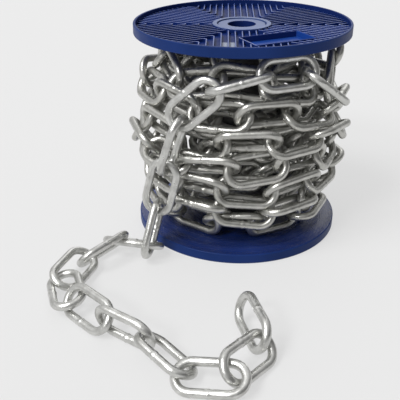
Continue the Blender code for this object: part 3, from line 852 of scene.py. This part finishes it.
def cut(vertices, faces, tool):
    """A closed mesh with another one taken out of it."""
    made = []
    for points, polygons in ((vertices, faces), tool):
        mesh = bpy.data.meshes.new("cut")
        mesh.from_pydata(points.tolist(), [], polygons)
        made.append(bpy.data.objects.new("cut", mesh))
        bpy.context.scene.collection.objects.link(made[-1])
    step = made[0].modifiers.new("cut", "BOOLEAN")
    step.operation = "DIFFERENCE"
    step.solver = "EXACT"
    step.object = made[1]
    mesh = made[0].evaluated_get(bpy.context.evaluated_depsgraph_get()).to_mesh()
    points = np.array([vertex.co for vertex in mesh.vertices])
    polygons = [tuple(polygon.vertices) for polygon in mesh.polygons]
    for thing in made:
        mesh = thing.data
        bpy.data.objects.remove(thing)
        bpy.data.meshes.remove(mesh)
    return points, polygons


def sticker_sheets():
    """The sticker on the web: a sheet in each of its cells between the ribs."""
    turn = math.radians(270 + PATTERN_TURN)
    out = np.array((math.cos(turn), math.sin(turn)))
    left = np.array((-math.sin(turn), math.cos(turn)))
    half = (RIB_STEP - RIB_WIDTH) / 2
    base, top = WEB_THICKNESS - GUARD / 2, WEB_THICKNESS + STICKER_THICKNESS
    sheets = []
    for cell in STICKER_CELLS:
        low, high = (cell * RIB_STEP + side for side in (-half, half))
        corners = ((STICKER_NEAR, low), (STICKER_FAR, low), (STICKER_FAR, high), (STICKER_NEAR, high))
        sheets.append(slab(np.array([u * out + v * left for u, v in corners]), base, top))
    return sheets


def flange_solids(pocket, hub_drop):
    """A flange lying on its inner face: rim, web, hub and ribs, with or without the label pocket."""
    rim = FLANGE_RADIUS - RIM_WIDTH
    top, web = FLANGE_THICKNESS, WEB_THICKNESS
    ribs = top - RIB_DROP
    hub = top - hub_drop
    groove = LEDGE_RADIUS - GROOVE_WIDTH
    profile = rounded(
        [
            (BORE_RADIUS, 0.0),
            (FLANGE_RADIUS, 0.0),
            (FLANGE_RADIUS, top),
            (rim, top),
            (rim, web),
            (HUB_RADIUS, web),
            (HUB_RADIUS, hub),
            (LEDGE_RADIUS, hub),
            (LEDGE_RADIUS, hub - HUB_GROOVE),
            (groove, hub - HUB_GROOVE),
            (groove, hub - HUB_SUNK),
            (BORE_RADIUS, hub - HUB_SUNK),
        ],
        (0, EDGE_ROUND, EDGE_ROUND, SMALL_ROUND, SMALL_ROUND, SMALL_ROUND, SMALL_ROUND)
        + (SMALL_ROUND / 2, 0, 0, SMALL_ROUND / 2, SMALL_ROUND),
        ROUND_STEPS,
    )
    vertices, faces = turned(profile, TURN_STEPS)
    if pocket:
        middle = pocket_corners(POCKET_LENGTH - POCKET_WALL, POCKET_WIDTH - POCKET_WALL)
        outline = rounded(middle, (POCKET_ROUND,) * 4, ROUND_STEPS)
        vertices, faces = cut(vertices, faces, slab(outline, POCKET_FLOOR, top))

    # Painted light and shade by face: the web, the rim's inner wall and the hub's sides take the web's
    # painted shade, the hub's top its painted sheen, and the pocket's floor its painted light
    def of_disc(x, y, height):
        out = math.hypot(x, y)
        if height < GUARD and out < FLANGE_RADIUS - EDGE_ROUND:
            return INNER
        if out > rim + SMALL_ROUND:
            return RIM
        if BORE_RADIUS + SMALL_ROUND / 2 < out < HUB_RADIUS and height > hub - HUB_SUNK - GUARD:
            return HUB_SHEEN
        return POCKET_LIT if pocket and abs(height - POCKET_FLOOR) < GUARD / 2 else WEB_SHADE

    # Painted light on the pocket's walls: the top of the wall at one end takes the rib tops' painted
    # highlight, the inside of the wall at the other end the pocket's painted light, and the rest the
    # web's painted shade
    def of_pocket(x, y, height):
        along, across = in_pocket(x, y)
        outer = along > (POCKET_LENGTH - POCKET_WALL - GUARD) / 2
        if outer or height > top - POCKET_DROP - GUARD / 2:
            return TOP_HIGHLIGHT if along < POCKET_WALL - POCKET_LENGTH / 2 else WEB_SHADE
        return POCKET_LIT if along > POCKET_LENGTH / 2 - 1.5 * POCKET_WALL else WEB_SHADE

    # Rib tops take the painted highlight, and the rib sides the web's painted shade
    def of_rib(x, y, height):
        return TOP_HIGHLIGHT if height > ribs - GUARD else WEB_SHADE

    solids = [(vertices, faces, numbered(vertices, faces, of_disc))]
    section = wall_section(RIB_WIDTH, web - OVERLAP, ribs)
    for path in rib_paths():
        for stretch in outside_pocket(path) if pocket else [path]:
            vertices, faces = ribbon(stretch, section)
            solids.append((vertices, faces, numbered(vertices, faces, of_rib)))
    if pocket:
        solids += [(*sheet, STICKER) for sheet in sticker_sheets()]
        section = wall_section(POCKET_WALL, POCKET_FLOOR - OVERLAP, top - POCKET_DROP)
        vertices, faces = ribbon(outline, section, True)
        solids.append((vertices, faces, numbered(vertices, faces, of_pocket)))
    return solids


def new_material(name):
    """A material with its node tree and its shader."""
    made = bpy.data.materials.new(name)
    made.use_nodes = True
    return made, made.node_tree, made.node_tree.nodes["Principled BSDF"]


def noise(tree, scale, detail, low, high):
    """Noise over the surface as a number from low to high."""
    place = tree.nodes.new("ShaderNodeTexCoord")
    made = tree.nodes.new("ShaderNodeTexNoise")
    made.inputs["Scale"].default_value = scale
    made.inputs["Detail"].default_value = detail
    tree.links.new(place.outputs["Object"], made.inputs["Vector"])
    spread = tree.nodes.new("ShaderNodeMapRange")
    spread.inputs["From Min"].default_value = NOISE_RANGE[0]
    spread.inputs["From Max"].default_value = NOISE_RANGE[1]
    spread.inputs["To Min"].default_value = low
    spread.inputs["To Max"].default_value = high
    tree.links.new(made.outputs["Fac"], spread.inputs["Value"])
    return spread.outputs["Result"]


def two_colours(tree, share, first, second):
    """A colour that goes from the first to the second with a share from 0 to 1."""
    mix = tree.nodes.new("ShaderNodeMix")
    mix.data_type = "RGBA"
    mix.inputs["A"].default_value = (*first, 1.0)
    mix.inputs["B"].default_value = (*second, 1.0)
    tree.links.new(share, mix.inputs["Factor"])
    return mix.outputs["Result"]


def bump(tree, shader, heights, distance):
    """Small relief on a shader, from one or several heights laid over one another."""
    below = None
    for height in heights:
        made = tree.nodes.new("ShaderNodeBump")
        made.inputs["Strength"].default_value = 1.0
        made.inputs["Distance"].default_value = distance
        tree.links.new(height, made.inputs["Height"])
        if below is not None:
            tree.links.new(below, made.inputs["Normal"])
        below = made.outputs["Normal"]
    tree.links.new(below, shader.inputs["Normal"])


def zinc(name, dark, light, rough_low, rough_high):
    """Galvanised steel: mottled grey, a little rougher in patches, with fine unevenness."""
    made, tree, shader = new_material(name)
    shader.inputs["Metallic"].default_value = STEEL_METALLIC
    mottle = noise(tree, *ZINC_MOTTLE, 0, 1)
    tree.links.new(two_colours(tree, mottle, dark, light), shader.inputs["Base Color"])
    tree.links.new(noise(tree, *ZINC_ROUGH, rough_low, rough_high), shader.inputs["Roughness"])
    heights = [noise(tree, *ZINC_LUMPS, 0, 1), noise(tree, *ZINC_GRAIN, 0, ZINC_GRAIN_SHARE)]
    bump(tree, shader, heights, ZINC_RELIEF)
    return made


def plastic(name, dark, light, rough_low, rough_high, gloss, rings):
    """Injection moulded plastic: faint flow marks and, where asked, turned rings."""
    made, tree, shader = new_material(name)
    shader.inputs["Specular IOR Level"].default_value = gloss
    flow = noise(tree, *PLASTIC_FLOW, 0, 1)
    tree.links.new(two_colours(tree, flow, dark, light), shader.inputs["Base Color"])
    rough = noise(tree, *PLASTIC_ROUGH, rough_low, rough_high)
    heights = [noise(tree, *PLASTIC_GRAIN, 0, PLASTIC_GRAIN_SHARE)]
    if rings:
        place = tree.nodes.new("ShaderNodeTexCoord")
        wave = tree.nodes.new("ShaderNodeTexWave")
        wave.wave_type = "RINGS"
        wave.rings_direction = "Z"
        wave.inputs["Scale"].default_value = rings
        wave.inputs["Distortion"].default_value = RING_UNEVEN[0]
        wave.inputs["Detail"].default_value = RING_UNEVEN[1]
        tree.links.new(place.outputs["Object"], wave.inputs["Vector"])
        heights.append(wave.outputs["Fac"])
        spread = tree.nodes.new("ShaderNodeMapRange")
        spread.inputs["To Min"].default_value = rough_low
        spread.inputs["To Max"].default_value = rough_high
        tree.links.new(wave.outputs["Fac"], spread.inputs["Value"])
        rough = spread.outputs["Result"]
    tree.links.new(rough, shader.inputs["Roughness"])
    bump(tree, shader, heights, RING_RELIEF if rings else FINE_RELIEF)
    return made


def build_reel():
    """Both flanges, and the finish of the tube between them."""
    looks = [plastic(name, *look) for name, look in PLASTICS.items()]
    axis = (REEL_X, REEL_Y)
    upper = flange_solids(True, HUB_DROP)
    piece(
        "reel_upper_flange", upper, looks, ["upper_flange"],
        place=(*axis, REEL_HEIGHT - FLANGE_THICKNESS),
    )

    # The ribs, the hub and the web of the lower flange all take the web's dark colour of painted
    # shade, without the upper flange's painted highlight and sheen
    rim, web, inner = looks[RIM], looks[WEB_SHADE], looks[INNER]
    plain = [rim, web, web, web, web, inner]
    lower = []
    for vertices, faces, numbers in flange_solids(False, 0.0):
        vertices = vertices * (1, 1, -1) + (0, 0, FLANGE_THICKNESS)
        lower.append((vertices, outward(vertices, faces), numbers))
    piece(
        "reel_lower_flange", lower, plain, ["lower_flange"],
        place=(*axis, 0.0),
    )
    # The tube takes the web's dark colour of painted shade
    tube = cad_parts["core_tube"]
    tube.data.materials.clear()
    tube.data.materials.append(web)


def build_chain():
    """The free links one by one, the outer and the hidden runs, the deep chain and the barrel."""
    steel, wound_painted_shade_steel, shade = (zinc(name, *look) for name, look in STEELS.items())
    draw = np.random.default_rng(LINK_SEED)
    free, links = lay_chain()
    poses = list(zip(*links))
    for number, pose in enumerate(reversed(poses[:free]), 1):
        node = f"free_link_{number:02d}"
        piece(f"steel_{node}", links_at([pose], 0.0, draw), [steel], [node], LINK_SHARP)
    inner = list(zip(*lay_inner()))
    # The wound runs, the hidden runs and the deep chain take the darker steel of painted shade
    for layer, wound, size, extra in (
        ("wound_run", poses[free:], LINKS_PER_RUN, WOUND_EXTRA),
        ("inner_run", inner, LINKS_PER_INNER, INNER_EXTRA),
    ):
        for start in range(0, len(wound), size):
            node = f"{layer}_{start // size + 1:02d}"
            run = links_at(wound[start : start + size], extra, draw)
            piece(f"steel_{node}", run, [wound_painted_shade_steel], [node], LINK_SHARP)

    core = ["wound_core"]
    piece("deep_chain", deep_links(draw), [wound_painted_shade_steel], core, LINK_SHARP)
    # The barrel is a dark grey solid put where there is only shade deep in the winding: painted shade
    inside = HUB_RADIUS + FIT_GAP / 2
    barrel = [(DEEP_BARREL, WOUND_BASE), (DEEP_BARREL, WOUND_TOP)]
    barrel += [(inside, WOUND_TOP), (inside, WOUND_BASE)]
    solid = (*turned(barrel, BARREL_STEPS), 0)
    place = (REEL_X, REEL_Y, 0.0)
    piece("painted_shade_barrel", [solid], [shade], core, LINK_SHARP, place)


def build_floor():
    """A plain pale floor that fills the view."""
    mesh = bpy.data.meshes.new("floor")
    corners = [(x * FLOOR_HALF, y * FLOOR_HALF, 0) for x, y in ((-1, -1), (1, -1), (1, 1), (-1, 1))]
    mesh.from_pydata(corners, [], [(0, 1, 2, 3)])
    floor = bpy.data.objects.new("floor", mesh)
    floor.location.z = -FLOOR_BELOW
    made, tree, shader = new_material("floor")
    shader.inputs["Base Color"].default_value = (FLOOR_SHADE, FLOOR_SHADE, FLOOR_SHADE, 1.0)
    shader.inputs["Roughness"].default_value = FLOOR_ROUGHNESS
    shader.inputs["Specular IOR Level"].default_value = FLOOR_GLOSS
    shader.inputs["Emission Color"].default_value = (1.0, 1.0, 1.0, 1.0)
    shader.inputs["Emission Strength"].default_value = FLOOR_GLOW
    mesh.materials.append(made)
    bpy.context.scene.collection.objects.link(floor)


def build_light():
    """A studio dome, brighter overhead and dim towards the right front, with three lamps."""
    world = bpy.data.worlds.new("studio")
    bpy.context.scene.world = world
    world.use_nodes = True
    tree = world.node_tree
    place = tree.nodes.new("ShaderNodeTexCoord")
    split = tree.nodes.new("ShaderNodeSeparateXYZ")
    ramp = tree.nodes.new("ShaderNodeValToRGB")
    ramp.color_ramp.elements[0].position = 0.0
    ramp.color_ramp.elements[0].color = (*DOME_LOW, 1.0)
    ramp.color_ramp.elements[1].position = OVERHEAD
    ramp.color_ramp.elements[1].color = (*DOME_HIGH, 1.0)
    side = tree.nodes.new("ShaderNodeVectorMath")
    side.operation = "DOT_PRODUCT"
    side.inputs[1].default_value = DIM_SIDE
    share = tree.nodes.new("ShaderNodeMapRange")
    share.inputs["From Min"].default_value = 0.0
    share.inputs["From Max"].default_value = 1.0
    share.inputs["To Min"].default_value = 1.0
    share.inputs["To Max"].default_value = DIM_SHARE
    back = tree.nodes["Background"]
    tree.links.new(place.outputs["Generated"], split.inputs["Vector"])
    tree.links.new(place.outputs["Generated"], side.inputs[0])
    tree.links.new(side.outputs["Value"], share.inputs["Value"])
    tree.links.new(share.outputs["Result"], back.inputs["Strength"])
    tree.links.new(split.outputs["Z"], ramp.inputs["Fac"])
    tree.links.new(ramp.outputs["Color"], back.inputs["Color"])

    for name, towards, spread, power in LAMPS:
        data = bpy.data.lights.new(name, "SUN")
        data.energy = power
        data.angle = math.radians(spread)
        light = bpy.data.objects.new(name, data)
        light.rotation_euler = Vector(towards).to_track_quat("Z", "Y").to_euler()
        bpy.context.scene.collection.objects.link(light)


def build_camera():
    """The camera at the photograph's viewing angle."""
    data = bpy.data.cameras.new("camera")
    data.lens = CAMERA_LENS
    data.sensor_width = CAMERA_SENSOR
    data.shift_x, data.shift_y = CAMERA_SHIFT
    camera = bpy.data.objects.new("camera", data)
    turns = (("Z", CAMERA_TURN), ("X", 90 - CAMERA_DOWN), ("Z", CAMERA_ROLL))
    pose = Matrix.Translation((REEL_X + CAMERA_X, REEL_Y + CAMERA_Y, CAMERA_Z))
    for axis, degrees in turns:
        pose = pose @ Matrix.Rotation(math.radians(degrees), 4, axis)
    camera.matrix_world = pose
    bpy.context.scene.collection.objects.link(camera)
    bpy.context.scene.camera = camera


bpy.context.scene.view_settings.view_transform = "Standard"
build_camera()
build_floor()
build_light()
build_reel()
build_chain()
